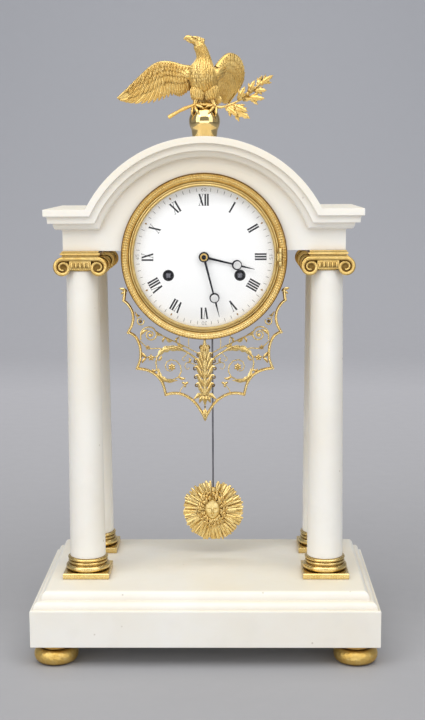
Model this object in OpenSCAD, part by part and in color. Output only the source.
// Portico clock: marble base, four columns, arched entablature with a drum movement,
// gilt mounts, a pierced apron, a sunburst pendulum and an eagle finial.
// Millimetres. The origin is on the floor under the middle of the base, and the dial faces -Y.

/* [Base] */
// Width of the base block
base_w = 266; // [260:1:290]
// Depth of the base block
base_d = 160; // [156:1:180]
// Height of the straight part of the base block
block_h = 29; // [22:0.5:36]
// Height of the moulding on the block
mould_h = 12.5; // [10:0.5:16]
// Distance that the moulding steps in at its top
mould_in = 12.5; // [9:0.5:13]
// Height of the bun feet
foot_h = 16; // [13:0.5:20]
// Widest diameter of the bun feet
foot_d = 34; // [28:0.5:38]

/* [Columns] */
// Distance between column axes across the front
pitch_x = 188; // [180:1:194]
// Distance between column axes from front to back
pitch_y = 69; // [67:0.5:72]
// Distance of the portico's middle behind the base's middle
setback = 10.5; // [7:0.5:13]
// Shaft diameter at the foot
shaft_d_low = 28; // [25:0.5:28.5]
// Shaft diameter at the neck
shaft_d_top = 24.6; // [22:0.2:25.4]
// Length of a shaft
shaft_l = 226.5; // [220:0.5:250]
// Side of the square plinth under a column
plinth_w = 36; // [36:0.5:40]
// Height of the square plinth
plinth_h = 4.5; // [3.5:0.5:7]
// Height of the turned rings on the plinth
ring_h = 10.5; // [8:0.5:13]
// Height of a capital from the neck to the top of its abacus
capital_h = 15; // [14:0.5:18]
// Side of the square abacus
abacus_w = 30; // [28:0.5:32]
// Distance between the eyes of two volutes
volute_pitch = 27; // [26:0.5:29]
// Radius of a volute
volute_r = 6.9; // [6:0.1:7.2]
// Diameter of the tie rods through the columns
rod_d = 6; // [5:0.5:8]

/* [Entablature] */
// Frieze overhang past the column axes, sideways
frieze_over_x = 13.5; // [12:0.5:16]
// Frieze overhang past the column axes, to front and back
frieze_over_y = 9.25; // [8:0.25:11]
// Height of the plain frieze
frieze_h = 15.7; // [13:0.1:20]
// Height of the cornice
cornice_h = 16; // [14:0.5:18]
// Projection of the cornice
cornice_out = 13; // [11:0.5:14]
// Outer radius of the arch
arch_r = 100; // [96:0.5:106]
// Rise of the arch above the wings
arch_rise = 53.7; // [48:0.1:58]

/* [Dial and case] */
// Outer radius of the hinged glass frames
frame_r = 56.7; // [56.2:0.1:57]
// Width of the fixed bezels around the glass frames
bezel_w = 6; // [5.4:0.1:8]
// Drop of the dial's middle below the frieze
dial_drop = 4.7; // [3:0.1:7]
// Outer radius of the drum case
drum_r = 59; // [58.6:0.1:60]
// Wall of the drum case
drum_wall = 1.5; // [1:0.1:1.8]
// Radius of the enamel dial
dial_r = 54.8; // [54:0.1:55]
// Rise of the dial's dome
dial_dome = 1.5; // [0.8:0.1:1.8]
// Sideways distance of the winding holes from the dial's middle
wind_x = 27.2; // [26:0.1:28.5]
// Distance of the winding holes below the dial's middle
wind_drop = 14; // [12.5:0.1:15]
// Length of the minute hand
minute_l = 46.9; // [42:0.1:49]
// Length of the hour hand
hour_l = 39.5; // [34:0.1:42]
// Angle of the minute hand, clockwise from twelve
minute_at = 165.8; // [0:0.1:360]
// Angle of the hour hand, clockwise from twelve
hour_at = 103.8; // [0:0.1:360]

/* [Movement] */
// Thickness of the movement plates
plate_t = 2.5; // [2:0.1:2.8]
// Distance between the plates
plate_gap = 36; // [35.5:0.1:38]
// Radius of the spring barrels
barrel_r = 20; // [18:0.1:20.3]
// Height of the spring barrels
barrel_h = 18; // [17.5:0.1:18.2]

/* [Pendulum] */
// Distance of the pendulum to the right of the dial's middle
swing_x = 5; // [3:0.5:6]
// Distance of the pivot above the dial's middle
pivot_up = 35.4; // [34.8:0.1:36]
// Clearance between the bob and the base
bob_clear = 13.6; // [10:0.1:22]
// Radius of the sunburst bob
bob_r = 25; // [21:0.5:27]
// Diameter of the pendulum rod
pendulum_d = 1.4; // [1.2:0.1:2]

/* [Finial] */
// Radius of the ball under the eagle
ball_r = 12.2; // [11:0.1:13]
// Radius of the stud under the ball
stud_r = 2; // [1.5:0.1:2.5]

/* [Clearances] */
// Radial clearance of a shaft in its hole
run_gap = 0.05; // [0.02:0.01:0.1]
// Clearance between a piece and its loose neighbour
part_gap = 0.3; // [0.2:0.05:0.4]

/* [Hidden] */
$fn = 64;
eps = 0.01;
CORNERS = ["front_left", "front_right", "back_left", "back_right"];

// Colours
marble = [0.90, 0.89, 0.86];
gilt = [0.83, 0.65, 0.30];
brass = [0.80, 0.66, 0.36];
steel = [0.45, 0.46, 0.48];
blued = [0.06, 0.06, 0.09];
enamel = [0.95, 0.95, 0.93];
clear = [0.85, 0.90, 0.92, 0.3];

// Heights of the stacked case
base_top = foot_h + block_h + mould_h;
shaft_z = base_top + plinth_h + ring_h;
capital_z = shaft_z + shaft_l;
frieze_z = capital_z + capital_h;
wing_z = frieze_z + frieze_h + cornice_h;
arch_top = wing_z + arch_rise;
arch_z = arch_top - arch_r;
dial_z = frieze_z - dial_drop;
ball_lift = 0.6;
ball_z = arch_top + ball_lift + ball_r;

// Plan of the case
frieze_w = pitch_x + 2 * frieze_over_x;
frieze_d = pitch_y + 2 * frieze_over_y;
front_y = setback - frieze_d / 2;
foot_margin = 1;
places = [for (sy = [-1, 1], sx = [-1, 1]) [sx * pitch_x / 2, setback + sy * pitch_y / 2]];
foot_places = [for (sy = [-1, 1], sx = [-1, 1])
    [sx * (base_w - foot_d - foot_margin) / 2, sy * (base_d - foot_d - foot_margin) / 2]];
foot_collar = 2.6;
foot_bulge = 5.5;
neck_r = shaft_d_top / 2;

// Tie rods
rod_hole_r = rod_d / 2 + part_gap;
rod_deep = 10;
nut_h = 5;
nut_r = rod_d;
recess_h = 9;
recess_r = nut_r + 1.5;

// Capital details
abacus_h = 2.6;
fillet_h = 1.4;
fillet_in = 0.7;
volute_z = 3.3;
volute_t = 3.4;
bolster_r = volute_r - 1.5;
canal_h = 5;

// Cornice members from the top edge down: fascia, cove and ovolo
fascia_h = 5.2;
cove_h = 4.8;
cove_in = 3.6;
ovolo_out = 6;
ovolo_h = cornice_h - fascia_h - cove_h;
cove_steps = 3;
ovolo_steps = 5;
cornice_steps = concat(
    [[fascia_h, cornice_out]],
    [for (i = [1:cove_steps]) [fascia_h + cove_h * i / cove_steps, cornice_out - cove_in * i / cove_steps]],
    [for (i = [1:ovolo_steps]) let (t = (i - 0.5) / ovolo_steps)
        [fascia_h + cove_h + ovolo_h * i / ovolo_steps, ovolo_out * sqrt(1 - t * t)]]);

// Dial side, measured forwards from the marble's front face
frame_gap = 0.5;
frame_w = 3.5;
bezel_in = frame_r + frame_gap;
// The bezels also cover the edge of the drum case
drum_cover = 3.4;
bezel_r = max(bezel_in + bezel_w, drum_r + drum_cover);
frame_in = frame_r - frame_w;
ledge_in = dial_r + frame_gap;
ledge_t = 1.7;
band_base = 4;
band_rise = 4.2;
frame_low = ledge_t + part_gap;
frame_top = frame_low + 7.2;
rebate_r = frame_r - 2;
rebate_g = frame_top - 1.9;
glass_t = 1.2;
glass_rise = 4.9;
knuckle_r = 1.2;
knuckle_half = 3;
knuckle_out = 6.6;
hinge_x = bezel_in + 0.5;
hinge_g = frame_top + 0.2;
hinge_pin_r = 0.6;
dial_lift = 1.2;
dial_t = 1.8;
dial_back = dial_lift - dial_t;
wind_hole_r = 4.3;
hour_g = dial_lift + dial_dome + 1.2;
hand_t = 0.7;
minute_g = hour_g + hand_t + 1;
moon_r = 3.8;
moon_w = 0.9;

// Movement, measured forwards from the same face
motion_space = 4.15;
plate_front = dial_back - motion_space;
train_front = plate_front - plate_t;
train_back = train_front - plate_gap;
plate_back = train_back - plate_t;
drum_in = drum_r - drum_wall;
flange_in = 53;
flange_t = 2;
front_plate_r = drum_in - part_gap;
back_plate_r = flange_in - 0.8;
pivot_r = 0.8;
arbor_r = 1;
through_r = 1.2;
centre_r = 1.5;
wind_r = 2.2;
wind_pivot_r = 1.6;
wind_square = 3.2;
shoulder = 0.3;
pillar_r = 2.5;
pillar_places = [[0, -48], [-42, 26], [42, 26], [-6, 49]];

// Tooth counts and modules of the meshing pairs: wheel, pinion, module
great = [72, 12, 0.6];
second = [60, 10, 0.5];
centre = [80, 8, 0.36];
third = [80, 8, 0.35];
minute = [72, 24, 0.45];
hour = [72, 18, 0.48];
pinned = [64, 8, 0.36];
escape_teeth = 36;
escape_r = 9;
pin_at_r = 9;
pin_r = 0.6;
pin_l = 1.7;
// Tooth shape: tip height, root depth, tip and root half widths as shares of module and pitch
wheel_tooth = [0.8, 1.15, 0.10, 0.25];
leaf_tooth = [0.6, 1.2, 0.09, 0.17];

function pair_distance(pair) = pair[2] * (pair[0] + pair[1]) / 2;
function polar(r, a) = [r * cos(a), r * sin(a)];
function aim(a, b) = atan2(b.y - a.y, b.x - a.x);
function gap_phase(pair) = 180 / pair[1];
// Point at distance ra from a and rb from b, on the left (1) or right (-1) of the line from a to b
function meet(a, b, ra, rb, side) =
    let (d = norm(b - a), u = (b - a) / d)
    let (x = (ra * ra - rb * rb + d * d) / (2 * d), h = sqrt(ra * ra - x * x))
    a + u * x + side * h * [-u.y, u.x];

anchor_drop = 12.6;
going_at = [wind_x, -wind_drop];
strike_at = [-wind_x, -wind_drop];
second_at = meet([0, 0], going_at, pair_distance(second), pair_distance(great), -1);
pivot_at = [swing_x, pivot_up];
escape_at = pivot_at - [0, anchor_drop];
third_at = meet([0, 0], escape_at, pair_distance(centre), pair_distance(third), -1);
minute_wheel_at = polar(pair_distance(minute), 118);
strike_wheel_at = strike_at + polar(pair_distance(great), 75);
pin_wheel_at = strike_wheel_at + polar(pair_distance(second), 60);
fly_at = pin_wheel_at + polar(pair_distance(pinned), 120);
hammer_at = [-33, 22];

// Depths of the train behind the front plate: start and thickness
barrel_level = 2;
rim_t = 2.8;
wheel_t = 1.5;
pinion_t = 3.2;
second_level = 22;
centre_level = 25.5;
third_level = 29;
escape_level = 32.5;
motion_low = plate_front + 0.4;
motion_t = 1.2;
motion_high = motion_low + motion_t + 0.5;

// Behind the back plate
swing_back = 11.5;
swing_g = plate_back - swing_back;
count_r = 12;
count_back = 1.3;
crutch_back = 1.6;
crutch_l = 25;
fork_w = 1;
bell_at = [-14, -18];
bell_r = 24;
bell_h = 10;
bell_wall = 1.2;
bell_back = 16.5;
hammer_back = 18.4;
hammer_head_r = 3;
hammer_reach = [17, -11];
spring_up = 3.9;
spring_w = 4;
spring_t = 0.3;
cock_w = 10;
cock_h = 6;
cock_out = 4;
block_w = 5;
pendulum_l = dial_z + pivot_up - bob_r - bob_clear - base_top;
bob_at = pivot_at - [0, pendulum_l];
slot_w = 17;
slot_l = 11;

// Finial and apron
ball_top = ball_z + ball_r;
seat_gap = 0.15;
stud_deep = 14;
apron_t = 3;
apron_lip = 0.4;
apron_in = drum_r + part_gap;
apron_out = bezel_r - apron_lip;
strip_w = 1.8;
screw_r = 1;
screw_head_r = 2;
screw_head_h = 1.2;
screw_bite = band_base - 1.4;
screw_angles = [-150, -90, -30];
screw_at_r = (apron_in + apron_out) / 2;

module clock_frame() {
    translate([0, front_y, dial_z]) rotate([90, 0, 0]) children();
}

module rear_frame() {
    translate([0, front_y + frieze_d, dial_z]) rotate([-90, 0, 0]) children();
}

// Height of the dial's enamel at a radius
function dial_height(r) = dial_lift + dial_dome * (1 - pow(r / dial_r, 2));

// Half ring of points for a turned bead between heights z and z + h
function bead(r, z, h, out, n = 6) =
    [for (i = [0:n]) let (t = -90 + 180 * i / n) [r + out * cos(t), z + h / 2 + h / 2 * sin(t)]];

function section(w, outline) = concat(
    [for (p = outline) [w / 2 - p[0], p[1]]],
    [for (i = [len(outline) - 1:-1:0]) [outline[i][0] - w / 2, outline[i][1]]]);

// Rectangular slab whose edge follows an outline of [inset, height], mitred at the corners
module moulded_slab(w, d, outline) {
    intersection() {
        rotate([90, 0, 0]) linear_extrude(d + 2, center = true) polygon(section(w, outline));
        rotate([90, 0, 90]) linear_extrude(w + 2, center = true) polygon(section(d, outline));
    }
}

// Leaf or blade between two arcs, from the origin along +X
module blade(l, w) {
    r = (l * l + w * w) / (4 * w);
    translate([l / 2, 0]) intersection() {
        translate([0, r - w / 2]) circle(r);
        translate([0, w / 2 - r]) circle(r);
    }
}

// Toothed disc with straight-sided teeth, one tooth centred on the angle phase
module toothed(teeth, mod, tooth, phase) {
    r = teeth * mod / 2;
    pitch = 360 / teeth;
    root = r - tooth[1] * mod;
    tip = r + tooth[0] * mod;
    polygon([for (i = [0:teeth - 1]) let (a = phase + i * pitch) each [
        polar(root, a - tooth[3] * pitch), polar(tip, a - tooth[2] * pitch),
        polar(tip, a + tooth[2] * pitch), polar(root, a + tooth[3] * pitch)]]);
}

// Disc with saw teeth of a depth
module saw_disc(teeth, r, depth) {
    polygon([for (i = [0:teeth - 1]) let (a = i * 360 / teeth) each [polar(r - depth, a), polar(r, a)]]);
}

module wheel(pair, t, phase) {
    linear_extrude(t) toothed(pair[0], pair[2], wheel_tooth, phase);
}

module pinion(pair, t, phase) {
    linear_extrude(t) toothed(pair[1], pair[2], leaf_tooth, phase + gap_phase(pair));
}

// Place in the train: behind the front plate by level, thickness t running forwards
module at_level(at, level, t) {
    translate([at.x, at.y, train_front - level - t]) children();
}

// Arbor between the plates with its two pivots; a long pivot reaches past its plate
module arbor(at, front_r = pivot_r, back_r = pivot_r, front_l = plate_t, back_l = plate_t, r = arbor_r) {
    translate([at.x, at.y, 0]) {
        translate([0, 0, train_back + shoulder]) cylinder(r = r, h = plate_gap - 2 * shoulder);
        translate([0, 0, train_front - shoulder - eps]) cylinder(r = front_r, h = front_l + shoulder + eps);
        translate([0, 0, train_back - back_l]) cylinder(r = back_r, h = back_l + shoulder + eps);
    }
}

// Base and columns

base_outline = concat(
    [[0, 0], [0, block_h], [mould_in * 0.2, block_h], [mould_in * 0.2, block_h + mould_h * 0.07]],
    [for (t = [15:15:90]) [mould_in * (0.56 - 0.36 * cos(t)), block_h + mould_h * (0.07 + 0.39 * sin(t))]],
    [[mould_in * 0.64, block_h + mould_h * 0.46], [mould_in * 0.64, block_h + mould_h * 0.52]],
    [for (t = [15:15:90]) [mould_in * (1 - 0.36 * cos(t)), block_h + mould_h * (0.52 + 0.48 * sin(t))]]);

module base_plinth() {
    color(marble) difference() {
        translate([0, 0, foot_h]) moulded_slab(base_w, base_d, base_outline);
        for (p = places) translate([p.x, p.y, foot_h - eps]) {
            cylinder(r = rod_hole_r, h = base_top);
            cylinder(r = recess_r, h = recess_h + eps);
        }
    }
}

module feet() {
    bun_h = foot_h - foot_collar - 1;
    r = foot_d / 2;
    outline = concat(
        [[0, 0]], bead(r - foot_bulge, 0, bun_h, foot_bulge, 10),
        [[r - foot_bulge, foot_h - foot_collar], [r - 3.5, foot_h - foot_collar]],
        [[r - 3.5, foot_h], [0, foot_h]]);
    color(gilt) for (p = foot_places) translate([p.x, p.y, 0]) rotate_extrude() polygon(outline);
}

module column_bases() {
    r = plinth_w / 2 - 0.6;
    outline = concat(
        [[0, plinth_h - eps]],
        bead(r - 2.4, plinth_h, ring_h * 0.44, 2.4),
        bead(r - 3.2, plinth_h + ring_h * 0.50, ring_h * 0.24, 1.4),
        bead(r - 3, plinth_h + ring_h * 0.78, ring_h * 0.22, 1.6),
        [[0, plinth_h + ring_h]]);
    color(gilt) for (p = places) translate([p.x, p.y, base_top]) difference() {
        union() {
            translate([-plinth_w / 2, -plinth_w / 2, 0]) cube([plinth_w, plinth_w, plinth_h]);
            rotate_extrude() polygon(outline);
        }
        translate([0, 0, -1]) cylinder(r = rod_hole_r, h = plinth_h + ring_h + 2);
    }
}

module column_shaft(p) {
    color(marble) translate([p.x, p.y, shaft_z]) difference() {
        cylinder(r1 = shaft_d_low / 2, r2 = neck_r, h = shaft_l);
        translate([0, 0, -1]) cylinder(r = rod_hole_r, h = shaft_l + 2);
    }
}

module capital(p) {
    band_top = capital_h - abacus_h - fillet_h;
    rim = abacus_w / 2 - 0.4;
    echinus = concat([[0, 0], [neck_r, 0], [neck_r + 0.7, 1.2]], bead(rim - 2, 3, band_top - 4, 2),
        [[rim - 1, band_top + eps], [0, band_top + eps]]);
    color(gilt) translate([p.x, p.y, capital_z]) difference() {
        union() {
            rotate_extrude() polygon(echinus);
            translate([-abacus_w / 2, -abacus_w / 2, capital_h - abacus_h])
                cube([abacus_w, abacus_w, abacus_h]);
            translate([0, 0, band_top + fillet_h / 2])
                cube([abacus_w - 2 * fillet_in, abacus_w - 2 * fillet_in, fillet_h + 2 * eps], center = true);
            for (sx = [-1, 1]) translate([sx * volute_pitch / 2, 0, volute_z]) rotate([90, 0, 0]) {
                cylinder(r = bolster_r, h = abacus_w - volute_t, center = true);
                for (sy = [-1, 1]) translate([0, 0, sy * (abacus_w - volute_t) / 2])
                    cylinder(r = volute_r, h = volute_t, center = true);
            }
            for (sy = [-1, 1]) translate([0, sy * (abacus_w - volute_t) / 2, band_top - canal_h / 2])
                cube([volute_pitch, volute_t, canal_h], center = true);
        }
        translate([0, 0, -2 * volute_r]) cylinder(r = neck_r + part_gap, h = 2 * volute_r);
        translate([0, 0, -1]) cylinder(r = rod_hole_r, h = capital_h + 2);
    }
}

module tie_rods() {
    color(steel) for (p = places) translate([p.x, p.y, foot_h + 2])
        cylinder(d = rod_d, h = frieze_z + rod_deep - foot_h - 2);
}

module tie_nuts() {
    color(steel) for (p = places) translate([p.x, p.y, foot_h + recess_h - nut_h]) difference() {
        cylinder(r = nut_r, h = nut_h, $fn = 6);
        translate([0, 0, -1]) cylinder(r = rod_d / 2 + run_gap, h = nut_h + 2);
    }
}

// Entablature

// Front outline: wings of a half width, and the arch, both shrunk by an inset
module front_outline(half_w, inset) {
    translate([0, arch_z]) circle(arch_r - inset);
    translate([-half_w, frieze_z - 2 * arch_r]) square([2 * half_w, wing_z - inset - frieze_z + 2 * arch_r]);
}

// One member of the cornice, from the edge in to an inset
module cornice_band(inset, out) {
    half_w = frieze_w / 2 + out;
    difference() {
        front_outline(half_w, 0);
        front_outline(half_w + 1, inset);
    }
}

module entablature() {
    color(marble) difference() {
        translate([0, setback, 0]) rotate([90, 0, 0]) {
            for (s = cornice_steps)
                linear_extrude(frieze_d + 2 * s[1], center = true) cornice_band(s[0], s[1]);
            linear_extrude(frieze_d, center = true) intersection() {
                front_outline(frieze_w / 2, 0);
                translate([-frieze_w, frieze_z]) square([2 * frieze_w, 2 * arch_r]);
            }
        }
        clock_frame() translate([0, 0, -frieze_d - 1]) cylinder(r = drum_r + part_gap, h = frieze_d + 2);
        for (p = places) translate([p.x, p.y, frieze_z - 1])
            cylinder(r = rod_d / 2 + run_gap, h = rod_deep + 2);
        translate([0, setback, arch_top - stud_deep]) cylinder(r = stud_r + run_gap, h = stud_deep + 1);
    }
}

// Drum, bezels, glasses and dial

module drum_case() {
    color(brass) clock_frame() difference() {
        translate([0, 0, -frieze_d]) cylinder(r = drum_r, h = frieze_d);
        translate([0, 0, train_front - flange_t]) cylinder(r = flange_in, h = flange_t + 1);
        translate([0, 0, train_front]) cylinder(r = drum_in, h = frieze_d);
        translate([0, 0, -frieze_d - 1]) cylinder(r = drum_in, h = frieze_d + 1 + train_front - flange_t);
        translate([swing_x - slot_w / 2, -drum_r - 1, swing_g - slot_l / 2]) cube([slot_w, drum_r, slot_l]);
    }
}

module knuckle(y0, y1) {
    translate([hinge_x, y1, hinge_g]) rotate([90, 0, 0]) cylinder(r = knuckle_r, h = y1 - y0);
}

module hinge_pin(r) {
    translate([hinge_x, knuckle_out, hinge_g]) rotate([90, 0, 0]) cylinder(r = r, h = 2 * knuckle_out);
}

// Fixed ring with a rebate for the glazed frame, and the outer knuckles with their pin
module bezel_ring() {
    band_r = (bezel_r - 0.9 + bezel_in) / 2;
    band_w = (bezel_r - 0.9 - bezel_in) / 2;
    outline = concat(
        [[ledge_in, 0], [bezel_r, 0], [bezel_r, band_base - 0.8], [bezel_r - 0.9, band_base - 0.4]],
        [for (t = [0:20:180]) [band_r + band_w * cos(t), band_base + band_rise * sin(t)]],
        [[bezel_in, ledge_t], [ledge_in, ledge_t]]);
    rotate_extrude() polygon(outline);
    hinge_pin(hinge_pin_r);
    for (s = [-1, 1]) {
        low = s > 0 ? knuckle_half + part_gap : -knuckle_out;
        high = s > 0 ? knuckle_out : -knuckle_half - part_gap;
        knuckle(low, high);
        translate([bezel_in + 0.1, low, band_base]) cube([1.6, high - low, hinge_g - band_base]);
    }
}

module bezel() {
    color(gilt) clock_frame() difference() {
        bezel_ring();
        for (a = screw_angles) rotate([0, 0, a]) translate([screw_at_r, 0, -1])
            cylinder(r = screw_r + run_gap, h = band_base);
    }
}

module rear_bezel() {
    color(gilt) rear_frame() bezel_ring();
}

module frame_ring() {
    outline = [[frame_r, frame_low], [frame_r, frame_top - 0.9], [frame_r - 0.7, frame_top],
        [rebate_r, frame_top], [rebate_r, rebate_g], [frame_in, rebate_g], [frame_in, frame_low + 2.8],
        [frame_in + 1.4, frame_low]];
    difference() {
        union() {
            rotate_extrude() polygon(outline);
            knuckle(-knuckle_half, knuckle_half);
            translate([frame_r - 1.2, -knuckle_half, frame_top - 0.9])
                cube([hinge_x - frame_r + 1.2, 2 * knuckle_half, 1.8]);
        }
        hinge_pin(hinge_pin_r + run_gap);
    }
}

module glass_frame() {
    color(gilt) clock_frame() frame_ring();
}

module rear_door() {
    color(gilt) rear_frame() frame_ring();
}

module front_glass() {
    r = rebate_r - part_gap;
    steps = 10;
    dome_r = r - 1;
    inner = [for (i = [0:steps]) let (k = i / steps) [dome_r * k, rebate_g + glass_rise * (1 - k * k)]];
    outer = [for (i = [steps:-1:0]) [inner[i].x, inner[i].y + glass_t]];
    color(clear) clock_frame() rotate_extrude()
        polygon(concat(inner, [[r, rebate_g], [r, rebate_g + glass_t]], outer));
}

module rear_glass() {
    color(clear) rear_frame() translate([0, 0, rebate_g]) cylinder(r = rebate_r - part_gap, h = glass_t);
}

module dial() {
    steps = 8;
    dome = [for (i = [0:steps]) let (r = dial_r * (1 - i / steps)) [r, dial_height(r)]];
    color(enamel) clock_frame() difference() {
        union() {
            rotate_extrude() polygon(concat([[0, dial_back], [dial_r, dial_back]], dome));
            for (a = [30, 150, 270]) rotate([0, 0, a]) translate([40, 0, plate_front])
                cylinder(r = 1.2, h = motion_space + eps);
        }
        translate([0, 0, dial_back - 1]) cylinder(r = pipe_r + 0.4, h = 9);
        for (p = [going_at, strike_at]) translate([p.x, p.y, dial_back - 1]) cylinder(r = wind_hole_r, h = 9);
    }
}

// Hands and motion work

cannon_r = 2.4;
pipe_r = 3.3;
hand_w = 1.5;
boss_w = 1.4;

// Moon hand along +Y: boss, tapering shaft with an open ring, and a fine tip
module hand(l, moon_at, bore_r) {
    difference() {
        union() {
            cylinder(r = bore_r + boss_w, h = hand_t);
            translate([0, moon_at, 0]) cylinder(r = moon_r, h = hand_t);
            linear_extrude(hand_t) polygon([[-hand_w / 2, bore_r], [-hand_w * 0.3, l - 4], [0, l],
                [hand_w * 0.3, l - 4], [hand_w / 2, bore_r]]);
        }
        translate([0, moon_at + moon_w * 0.3, -1]) cylinder(r = moon_r - moon_w, h = hand_t + 2);
        translate([0, 0, -1]) cylinder(r = bore_r + run_gap, h = hand_t + 2);
    }
}

module hour_hand() {
    color(blued) clock_frame() rotate([0, 0, -hour_at]) translate([0, 0, hour_g])
        hand(hour_l, hour_l * 0.65, pipe_r);
}

module minute_hand() {
    color(blued) clock_frame() rotate([0, 0, -minute_at]) translate([0, 0, minute_g])
        hand(minute_l, minute_l * 0.68, cannon_r);
}

module hand_collet() {
    color(gilt) clock_frame() translate([0, 0, minute_g + hand_t]) difference() {
        cylinder(r1 = cannon_r + 0.5, r2 = cannon_r - 0.4, h = 1.1);
        translate([0, 0, -1]) cylinder(r = centre_r + run_gap, h = 3);
    }
}

module cannon_pinion() {
    color(steel) clock_frame() difference() {
        union() {
            translate([0, 0, motion_low])
                pinion(minute, motion_t, aim([0, 0], minute_wheel_at));
            translate([0, 0, motion_low]) cylinder(r = cannon_r, h = minute_g + hand_t - motion_low);
        }
        translate([0, 0, motion_low - 1]) cylinder(r = centre_r + run_gap, h = 20);
    }
}

module minute_wheel() {
    back = aim(minute_wheel_at, [0, 0]);
    color(brass) clock_frame() translate([minute_wheel_at.x, minute_wheel_at.y, 0]) difference() {
        union() {
            translate([0, 0, motion_low]) wheel(minute, motion_t, back);
            translate([0, 0, motion_low + eps]) pinion(hour, motion_high + motion_t - motion_low, back);
        }
        translate([0, 0, motion_low - 1]) cylinder(r = arbor_r + run_gap, h = 6);
    }
}

module hour_wheel() {
    color(brass) clock_frame() difference() {
        union() {
            translate([0, 0, motion_high]) wheel(hour, motion_t, aim([0, 0], minute_wheel_at));
            translate([0, 0, motion_high]) cylinder(r = pipe_r, h = hour_g + hand_t - motion_high);
        }
        translate([0, 0, motion_high - 1]) cylinder(r = cannon_r + run_gap, h = 20);
    }
}

// Movement plates and trains

// Places of the arbors with the radii of their front and back pivots
bearings = [
    [[0, 0], centre_r, pivot_r], [second_at, pivot_r, pivot_r], [third_at, pivot_r, pivot_r],
    [escape_at, pivot_r, pivot_r], [pin_wheel_at, pivot_r, pivot_r], [fly_at, pivot_r, pivot_r],
    [pivot_at, pivot_r, through_r], [strike_wheel_at, pivot_r, through_r], [hammer_at, pivot_r, through_r],
    [going_at, wind_r, wind_pivot_r], [strike_at, wind_r, wind_pivot_r]];

module front_plate() {
    color(brass) clock_frame() {
        difference() {
            translate([0, 0, train_front]) cylinder(r = front_plate_r, h = plate_t);
            for (b = bearings) translate([b[0].x, b[0].y, train_front - 1])
                cylinder(r = b[1] + run_gap, h = plate_t + 2);
        }
        translate([minute_wheel_at.x, minute_wheel_at.y, plate_front - eps])
            cylinder(r = arbor_r, h = motion_high + motion_t - plate_front);
    }
}

module back_plate() {
    color(brass) clock_frame() difference() {
        translate([0, 0, plate_back]) cylinder(r = back_plate_r, h = plate_t);
        for (b = bearings) translate([b[0].x, b[0].y, plate_back - 1])
            cylinder(r = b[2] + run_gap, h = plate_t + 2);
    }
}

module plate_pillars() {
    color(brass) clock_frame() for (p = pillar_places) translate([p.x, p.y, train_back])
        cylinder(r = pillar_r, h = plate_gap);
}

module barrel(at, mate) {
    color(brass) clock_frame() difference() {
        union() {
            at_level(at, barrel_level, barrel_h) cylinder(r = barrel_r, h = barrel_h);
            at_level(at, barrel_level + barrel_h - rim_t, rim_t) wheel(great, rim_t, aim(at, mate));
        }
        at_level(at, barrel_level + 1.5, barrel_h - 3) cylinder(r = barrel_r - 1.5, h = barrel_h - 3);
        at_level(at, 0, plate_gap) cylinder(r = wind_r + run_gap, h = plate_gap);
    }
}

// Coiled spring in a barrel, wound from near the arbor out to the wall
module mainspring(at) {
    turns = 7;
    steps = 16;
    strip = 0.6;
    low_r = wind_r + 2;
    high_r = barrel_r - 1.5 - part_gap - strip;
    h = barrel_h - 3 - 2 * part_gap;
    last = turns * steps;
    function coil(i, more) = polar(low_r + more + (high_r - low_r) * i / last, i * 360 / steps);
    color(steel) clock_frame() at_level(at, barrel_level + 1.5 + part_gap, h) linear_extrude(h)
        polygon(concat([for (i = [0:last]) coil(i, 0)], [for (i = [last:-1:0]) coil(i, strip)]));
}

// Winding arbor: shaft through the barrel, ratchet in front of the plate, square at the dial
module winding_arbor(at) {
    ratchet_teeth = 18;
    ratchet_r = 7;
    ratchet_t = 1.2;
    square_top = dial_height(norm(at)) + 1.3;
    color(steel) clock_frame() {
        arbor(at, wind_r, wind_pivot_r, plate_t + shoulder + eps, plate_t, wind_r);
        translate([at.x, at.y, plate_front + shoulder]) {
            linear_extrude(ratchet_t) saw_disc(ratchet_teeth, ratchet_r, 1);
            translate([-wind_square / 2, -wind_square / 2, ratchet_t - eps])
                cube([wind_square, wind_square, square_top - plate_front - shoulder - ratchet_t]);
        }
    }
}

module second_wheel() {
    color(brass) clock_frame() {
        arbor(second_at);
        at_level(second_at, barrel_level + barrel_h - rim_t - 0.7, rim_t + 2)
            pinion(great, rim_t + 2, aim(second_at, going_at));
        at_level(second_at, second_level, wheel_t) wheel(second, wheel_t, aim(second_at, [0, 0]));
    }
}

module centre_wheel() {
    reach = minute_g + hand_t + 1.6 - train_front;
    color(brass) clock_frame() {
        arbor([0, 0], centre_r, pivot_r, reach, plate_t);
        at_level([0, 0], second_level - 0.8, pinion_t) pinion(second, pinion_t, aim([0, 0], second_at));
        at_level([0, 0], centre_level, wheel_t) wheel(centre, wheel_t, aim([0, 0], third_at));
    }
}

module third_wheel() {
    color(brass) clock_frame() {
        arbor(third_at);
        at_level(third_at, centre_level - 0.8, pinion_t) pinion(centre, pinion_t, aim(third_at, [0, 0]));
        at_level(third_at, third_level, wheel_t) wheel(third, wheel_t, aim(third_at, escape_at));
    }
}

module escape_wheel() {
    color(brass) clock_frame() {
        arbor(escape_at);
        at_level(escape_at, third_level - 0.8, pinion_t) pinion(third, pinion_t, aim(escape_at, third_at));
        at_level(escape_at, escape_level, wheel_t) linear_extrude(wheel_t)
            saw_disc(escape_teeth, escape_r, 1.6);
    }
}

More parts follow.
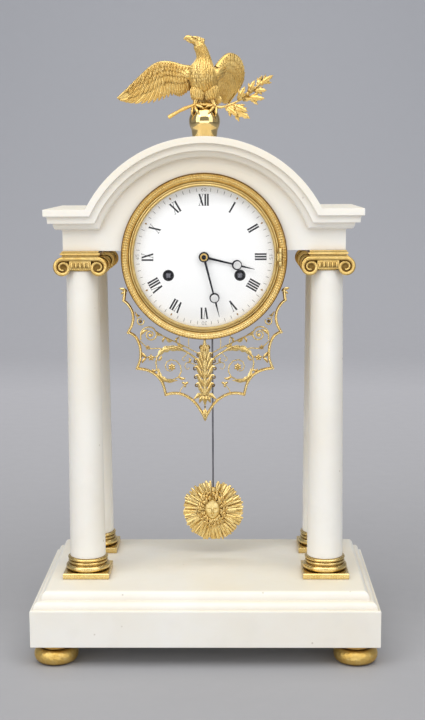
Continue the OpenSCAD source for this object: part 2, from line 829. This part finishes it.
// Anchor over the escape wheel, its arbor, and the crutch behind the back plate
module pallets() {
    low = escape_r + 0.9;
    reach = 42;
    fork_in = pendulum_d / 2 + part_gap;
    arm_g = plate_back - crutch_back;
    color(steel) clock_frame() {
        arbor(pivot_at, pivot_r, through_r, plate_t, plate_t + crutch_back);
        at_level(escape_at, escape_level, wheel_t) linear_extrude(wheel_t) intersection() {
            difference() {
                circle(low + 2.2);
                circle(low);
            }
            polygon([[0, 0], polar(2 * low, 90 - reach), [0, 3 * low], polar(2 * low, 90 + reach)]);
        }
        at_level(pivot_at, escape_level, wheel_t) cylinder(r = 2.4, h = wheel_t);
        translate([swing_x - 1, pivot_up - crutch_l, arm_g - 1]) cube([2, crutch_l, 1]);
        translate([swing_x, pivot_up, arm_g - 1]) cylinder(r = 2.2, h = 1);
        for (s = [-1, 1]) translate([swing_x + s * (fork_in + fork_w / 2), pivot_up - crutch_l, 0]) {
            translate([-fork_w / 2, 0, swing_g - 2]) cube([fork_w, 2, arm_g - swing_g + 2]);
        }
        translate([swing_x - fork_in - fork_w, pivot_up - crutch_l, arm_g - 1])
            cube([2 * (fork_in + fork_w), 2, 1]);
    }
}

module strike_wheel() {
    color(brass) clock_frame() {
        arbor(strike_wheel_at, pivot_r, through_r, plate_t, plate_t + count_back + 1.8);
        at_level(strike_wheel_at, barrel_level + barrel_h - rim_t - 0.7, rim_t + 2)
            pinion(great, rim_t + 2, aim(strike_wheel_at, strike_at));
        at_level(strike_wheel_at, second_level, wheel_t)
            wheel(second, wheel_t, aim(strike_wheel_at, pin_wheel_at));
    }
}

// Count wheel: its notches space the blows of the twelve hours
module count_wheel() {
    blows = 78;
    function blows_to(h) = h * (h + 1) / 2;
    low = plate_back - count_back - wheel_t;
    color(brass) clock_frame() translate([strike_wheel_at.x, strike_wheel_at.y, low])
        difference() {
            cylinder(r = count_r, h = wheel_t);
            translate([0, 0, -1]) cylinder(r = through_r + run_gap, h = 4);
            for (h = [1:12]) rotate([0, 0, 360 * blows_to(h) / blows])
                translate([count_r - 1.5, -0.5, -1]) cube([3, 1, 4]);
        }
}

module pin_wheel() {
    pins = 10;
    color(brass) clock_frame() {
        arbor(pin_wheel_at);
        at_level(pin_wheel_at, second_level - 0.8, pinion_t)
            pinion(second, pinion_t, aim(pin_wheel_at, strike_wheel_at));
        at_level(pin_wheel_at, centre_level, wheel_t) wheel(pinned, wheel_t, aim(pin_wheel_at, fly_at));
        for (i = [0:pins - 1])
            at_level(pin_wheel_at + polar(pin_at_r, i * 360 / pins), centre_level + wheel_t - 0.1, pin_l)
            cylinder(r = pin_r, h = pin_l);
    }
}

module fly() {
    fly_r = 6;
    color(brass) clock_frame() {
        arbor(fly_at);
        at_level(fly_at, centre_level - 0.8, pinion_t) pinion(pinned, pinion_t, aim(fly_at, pin_wheel_at));
        at_level(fly_at - [fly_r, 0.3], 6, 15) cube([2 * fly_r, 0.6, 15]);
    }
}

// Hammer: arbor, lifting tail inside the plates, and arm and head beside the bell
module hammer() {
    tail_l = norm(hammer_at - pin_wheel_at) - pin_at_r - pin_r - part_gap;
    arm_g = plate_back - hammer_back;
    head = hammer_at + hammer_reach;
    color(steel) clock_frame() {
        arbor(hammer_at, pivot_r, through_r, plate_t, plate_t + hammer_back);
        at_level(hammer_at, centre_level + wheel_t + 0.3, 1) rotate([0, 0, aim(hammer_at, pin_wheel_at)])
            translate([0, -0.8, 0]) cube([tail_l, 1.6, 1]);
        translate([hammer_at.x, hammer_at.y, arm_g]) rotate([0, 0, aim(hammer_at, head)]) {
            translate([0, -1.2, 0]) cube([norm(hammer_reach), 2.4, 1.6]);
            cylinder(r = 2.2, h = 1.6);
        }
        translate([head.x, head.y, arm_g - 6]) cylinder(r = hammer_head_r, h = 7.6);
    }
}

module bell() {
    steps = 8;
    outer = [for (i = [0:steps]) let (t = 90 * i / steps) [bell_r * cos(t), -bell_h * sin(t)]];
    inner = [for (i = [steps:-1:0]) let (t = 90 * i / steps)
        [(bell_r - bell_wall) * cos(t), -(bell_h - bell_wall) * sin(t)]];
    color(brass) clock_frame() translate([bell_at.x, bell_at.y, plate_back - bell_back]) difference() {
        rotate_extrude() polygon(concat(outer, inner));
        translate([0, 0, -2 * bell_h]) cylinder(r = through_r + run_gap, h = 2 * bell_h);
    }
}

module bell_stand() {
    crown = bell_back + bell_h - bell_wall;
    color(brass) clock_frame() translate([bell_at.x, bell_at.y, plate_back]) {
        translate([0, 0, -crown + 0.2]) cylinder(r = 2.6, h = crown - 0.2);
        translate([0, 0, -crown - bell_wall - 2]) cylinder(r = through_r, h = crown);
    }
}

// Suspension and pendulum

module suspension_cock() {
    under = pivot_up + spring_up + part_gap;
    color(brass) clock_frame() {
        translate([swing_x - cock_w / 2, under, swing_g - cock_out])
            cube([cock_w, cock_h, swing_back + cock_out]);
    }
}

module suspension_spring() {
    color(steel) clock_frame() translate([swing_x - spring_t / 2, pivot_up - 2, swing_g - spring_w / 2])
        cube([spring_t, spring_up + 2, spring_w]);
}

module pendulum_rod() {
    clip_h = 4;
    low = bob_at.y - bob_r * 0.72;
    color(steel) clock_frame() translate([swing_x, 0, swing_g]) {
        translate([-block_w / 2, pivot_up - 2 - clip_h, -spring_w / 2]) cube([block_w, clip_h, spring_w]);
        translate([0, low, 0]) rotate([-90, 0, 0])
            cylinder(d = pendulum_d, h = pivot_up - 2 - clip_h - low + 1);
    }
}

// Sunburst: rays of two lengths, a boss behind for the rod and a domed mask in front
module pendulum_bob() {
    rays = 40;
    hub_r = bob_r * 0.62;
    boss_r = bob_r * 0.42;
    boss_t = 4.6;
    mask_r = bob_r * 0.40;
    mask_h = 4;
    star_t = 1.8;
    // The hub stands proud of the rays on both sides
    hub_over = 0.5;
    face_g = pendulum_d / 2 + 1;
    dome_r = (mask_r * mask_r + mask_h * mask_h) / (2 * mask_h);
    color(gilt) clock_frame() translate([swing_x, bob_at.y, swing_g]) difference() {
        union() {
            translate([0, 0, face_g]) linear_extrude(star_t)
                polygon([for (i = [0:rays - 1]) let (a = i * 360 / rays)
                    each [polar(bob_r * (i % 2 == 0 ? 1 : 0.88), a), polar(hub_r, a + 180 / rays)]]);
            translate([0, 0, face_g - hub_over]) cylinder(r = hub_r + 1, h = star_t + 2 * hub_over);
            translate([0, 0, face_g - boss_t]) cylinder(r = boss_r, h = boss_t + star_t / 2);
            translate([0, 0, face_g + star_t + hub_over + mask_h - dome_r]) intersection() {
                sphere(r = dome_r);
                translate([0, 0, dome_r - mask_h - star_t / 3]) cylinder(r = boss_r, h = 2 * mask_h);
            }
        }
        rotate([90, 0, 0]) cylinder(r = pendulum_d / 2 + run_gap, h = 3 * bob_r, center = true);
    }
}

// Apron: scalloped border, central stem and a pair of leafy scrolls

function circle_through(a, b, c) =
    let (d = 2 * (a.x * (b.y - c.y) + b.x * (c.y - a.y) + c.x * (a.y - b.y)))
    let (aa = a * a, bb = b * b, cc = c * c)
    [(aa * (b.y - c.y) + bb * (c.y - a.y) + cc * (a.y - b.y)) / d,
     (aa * (c.x - b.x) + bb * (a.x - c.x) + cc * (b.x - a.x)) / d];

// Strip along the arc through three points
module arc_strip(a, m, b, w) {
    c = circle_through(a, m, b);
    r = norm(a - c);
    far = 3;
    translate(c) intersection() {
        difference() {
            circle(r + w / 2);
            circle(r - w / 2);
        }
        polygon([[0, 0], far * (a - c), far * (m - c), far * (b - c)]);
    }
}

// Strip along a spiral whose radius halves each turn
module spiral_strip(start_r, a0, a1, w) {
    step = 15;
    count = round((a1 - a0) / step);
    r = [for (i = [0:count]) start_r * pow(0.5, i * step / 360)];
    polygon(concat(
        [for (i = [0:count]) polar(r[i] + w / 2, a0 + i * step)],
        [for (i = [count:-1:0]) polar(r[i] - w / 2, a0 + i * step)]));
}

// Heights on the apron are measured from the lowest point of its ring.
// Cusps of the border, from the bezel down to the tip, and the deepest point of each scallop
cusps = [[bezel_r, 29.4], [58.9, 4.3], [52.5, -23], [30, -43.5], [0, -62.2]];
scallops = [[55.8, 15.8], [50.5, -7.2], [37.8, -26.1], [8.1, -47.7]];
rail_top = 39.8;
rail_l = 11;
stem_w = 2.4;
scroll_at = [-26.2, -21.3];
curl_at = [-42.9, 4.1];
round_at = [-53, 14.8];
stem_leaves = [-4.7, -11.7, -18.7, -25.7, -33.2];
calyx_at = -41.2;

module apron_half() {
    for (i = [0:3]) mirror([1, 0]) arc_strip(cusps[i], scallops[i], cusps[i + 1], strip_w);
    translate([-apron_out, rail_top - rail_l]) square([strip_w, rail_l]);
    translate(scroll_at) {
        spiral_strip(24.5, -10, 710, 2.2);
        for (a = [0:60:300]) rotate(a) translate([3.4, 0]) circle(2.3);
        circle(2.4);
        for (p = [[112, 20], [160, 18], [318, 13]]) translate(polar(p[1], p[0])) circle(3.3);
        rotate(40) translate([21, 0]) rotate(70) blade(16, 6);
        rotate(205) translate([13, 0]) blade(16, 5);
        rotate(268) translate([11, 0]) rotate(-12) blade(13, 5);
    }
    translate(curl_at) {
        spiral_strip(11.5, -160, 350, 2);
        circle(3.6);
    }
    translate(round_at) circle(3.2);
    for (i = [0:len(stem_leaves) - 1]) translate([0, stem_leaves[i]]) rotate(205 - 6 * i) blade(11, 4.6);
    translate([0, calyx_at]) rotate(222) blade(10, 4.5);
}

module apron() {
    tip = cusps[len(cusps) - 1];
    color(gilt) clock_frame() translate([0, 0, -apron_t]) difference() {
        linear_extrude(apron_t) translate([0, -apron_out]) {
            intersection() {
                translate([0, apron_out]) circle(apron_out);
                translate([-apron_out, 0]) square([2 * apron_out, rail_top]);
            }
            translate([-stem_w / 2, tip.y]) square([stem_w, 1 - tip.y]);
            apron_half();
            mirror([1, 0]) apron_half();
        }
        translate([0, 0, -1]) cylinder(r = apron_in, h = apron_t + 2);
        for (a = screw_angles) rotate([0, 0, a]) translate([screw_at_r, 0, -1])
            cylinder(r = screw_r + run_gap, h = apron_t + 2);
    }
}

module apron_screws() {
    color(steel) clock_frame() for (a = screw_angles) rotate([0, 0, a]) translate([screw_at_r, 0, -apron_t]) {
        translate([0, 0, -screw_head_h]) {
            cylinder(r = screw_r, h = screw_head_h + apron_t + screw_bite);
            cylinder(r = screw_head_r - part_gap, h = screw_head_h);
        }
    }
}

// Finial

// Ball with its seat and the stud that stands in the arch
module finial_ball() {
    color(gilt) translate([0, setback, 0]) {
        translate([0, 0, ball_z]) sphere(ball_r);
        translate([0, 0, arch_top]) cylinder(r = ball_r * 0.5, h = ball_r * 0.3);
        translate([0, 0, arch_top - stud_deep + part_gap]) cylinder(r = stud_r, h = stud_deep + ball_r);
    }
}

module joined(a, ra, b, rb) {
    hull() {
        translate(a) sphere(ra, $fn = 20);
        translate(b) sphere(rb, $fn = 20);
    }
}

// Perch of the eagle: the top of the ball
module perch() {
    translate([0, setback, ball_top]) children();
}

// Trunk, neck and legs, which also shape the roots of the wings
module eagle_trunk(grow = 0) {
    joined([0, 0, 23], 9.4 + grow, [2, 3, 13], 7 + grow);
    joined([-1, -2, 31], 6.4 + grow, [-5, -3, 42], 4.8 + grow);
    joined([-5, -1, 13], 4 + grow, [-5.5, -2, 0.8], 2.4 + grow);
    joined([5.5, -1, 13], 4 + grow, [6, -2, 0.8], 2.4 + grow);
}

module ball_seat() {
    translate([0, setback, ball_z]) sphere(ball_r + seat_gap);
}

// Trunk with the head, whose hooked beak is raised to the left, and the tail
module eagle_body() {
    color(gilt) difference() {
        perch() {
            eagle_trunk();
            joined([-5.5, -3.4, 46.6], 5, [-9.5, -4.6, 48.6], 3);
            translate([-9.5, -4.6, 48.9]) rotate([0, -62, 8]) cylinder(r1 = 2.6, r2 = 0.4, h = 5.2);
            joined([1, 7, 12], 5, [2, 14, -2], 3);
        }
        ball_seat();
    }
}

// Wing in its own plane: root at the origin, spread along -X, feathers fanned below the arm
module wing() {
    feathers = 9;
    arm = [-20, 3];
    tip_l = 45;
    root_l = 20;
    fan_from = 211;
    fan = 50;
    for (i = [0:feathers - 1]) {
        k = i / (feathers - 1);
        translate([arm.x * (1 - k), 2 - 0.5 * i, arm.y * (1 - k) - 1]) rotate([90, -fan_from - fan * k, 0])
            linear_extrude(1.6, center = true) blade(tip_l + (root_l - tip_l) * k, 8);
    }
    joined([0, 0, 0], 4.4, [arm.x * 0.55, 0, arm.y * 0.9], 3.8);
    joined([arm.x * 0.55, 0, arm.y * 0.9], 3.8, [arm.x * 1.3, 0, arm.y - 3], 2.2);
}

module eagle_right_wing() {
    color(gilt) perch() difference() {
        translate([-10.5, 4, 30]) wing();
        eagle_trunk(part_gap);
    }
}

module eagle_left_wing() {
    color(gilt) perch() difference() {
        translate([9.6, 5.8, 31.7]) rotate([0, -14, 68]) mirror([1, 0, 0]) wing();
        eagle_trunk(part_gap);
    }
}

// Branch under the talons: a bent stem with knots and paired leaves
branch = [[-28.5, -5, -10], [-12, -6.8, -3.2], [0, -7.2, -1.2], [14, -7, -2.6], [34, -4, 5], [50, -2, 18]];

module laurel_branch() {
    stem_r = 1.1;
    knot_r = 1.35;
    color(gilt) difference() {
        perch() {
            for (i = [0:len(branch) - 2]) {
                d = branch[i + 1] - branch[i];
                translate(branch[i]) rotate([0, acos(d.z / norm(d)), atan2(d.y, d.x)])
                    cylinder(r = stem_r, h = norm(d));
                translate(branch[i + 1]) sphere(knot_r);
            }
            for (i = [3:len(branch) - 1], s = [-1, 1]) translate(branch[i])
                rotate([90, -12 * i - s * 38 + 12, 0]) linear_extrude(1.2, center = true) blade(15, 6);
        }
        ball_seat();
    }
}

base_plinth();
feet();
column_bases();
for (i = [0:3]) {
    column_shaft(places[i]);
    capital(places[i]);
}
entablature();
tie_rods();
tie_nuts();
drum_case();
bezel();
glass_frame();
front_glass();
dial();
hour_hand();
minute_hand();
hand_collet();
rear_bezel();
rear_door();
rear_glass();
front_plate();
back_plate();
plate_pillars();
barrel(going_at, second_at);  // going_barrel
mainspring(going_at);  // going_mainspring
winding_arbor(going_at);  // going_arbor
barrel(strike_at, strike_wheel_at);  // strike_barrel
mainspring(strike_at);  // strike_mainspring
winding_arbor(strike_at);  // strike_arbor
second_wheel();
centre_wheel();
third_wheel();
escape_wheel();
pallets();
cannon_pinion();
minute_wheel();
hour_wheel();
strike_wheel();
count_wheel();
pin_wheel();
fly();
hammer();
bell();
bell_stand();
suspension_cock();
suspension_spring();
pendulum_rod();
pendulum_bob();
apron();
apron_screws();
finial_ball();
eagle_body();
eagle_right_wing();
eagle_left_wing();
laurel_branch();
